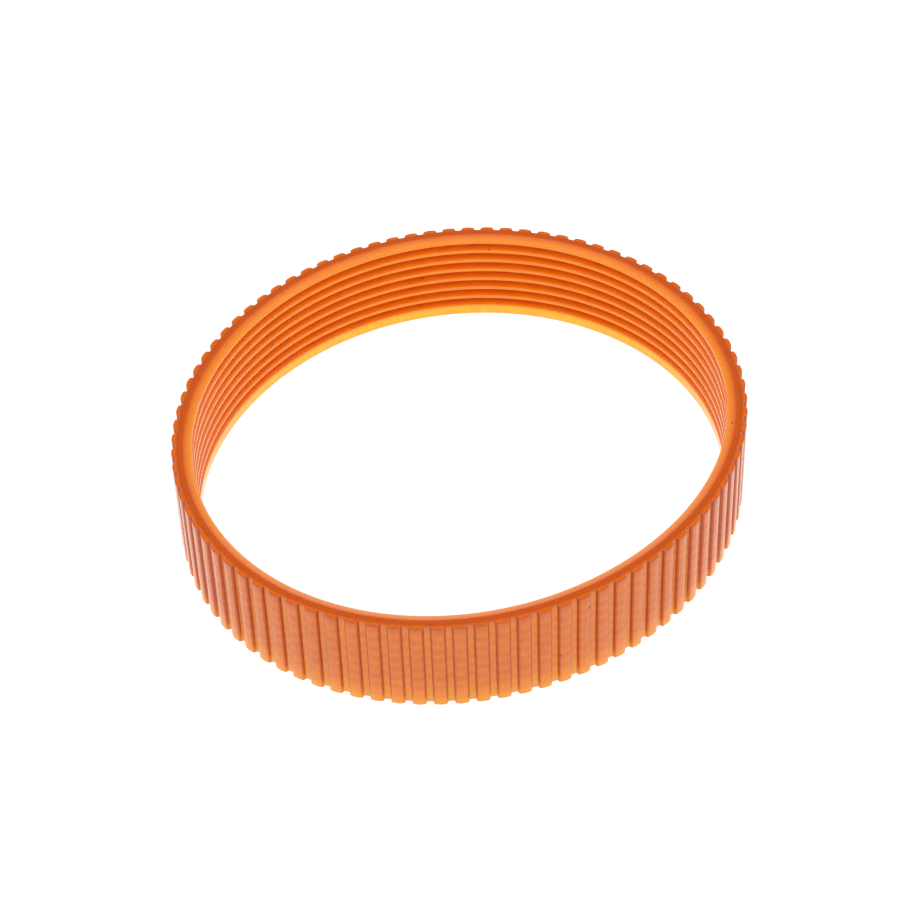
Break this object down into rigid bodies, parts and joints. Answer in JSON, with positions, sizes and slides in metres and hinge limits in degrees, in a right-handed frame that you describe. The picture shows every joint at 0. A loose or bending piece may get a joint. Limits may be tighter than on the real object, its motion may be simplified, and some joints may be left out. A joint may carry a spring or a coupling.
{
  "type": "ribbed v belt",
  "caption": "Endless ribbed V-belt of amber polyurethane: V ribs along the inside, raised cross pads round the outside, helical tension cords within.",
  "frame": {"origin": "centre of the relaxed loop's box, on the plane of the lower side face", "axes": "+Z along the loop's axis, from the lower side face to the upper; +X along the relaxed loop's long diameter"},
  "size_m": [0.0738, 0.0686, 0.0135],
  "materials": {
    "backing_polyurethane": "glossy translucent amber",
    "rib_polyurethane": "glossy translucent amber",
    "cord_polyester": "twisted yarn"
  },
  "bodies": {
    "root": {"toothed_backing": "backing_polyurethane", "ribbed_layer": "rib_polyurethane", "tension_cord_s": "cord_polyester", "tension_cord_z": "cord_polyester"}
  },
  "joints": []
}
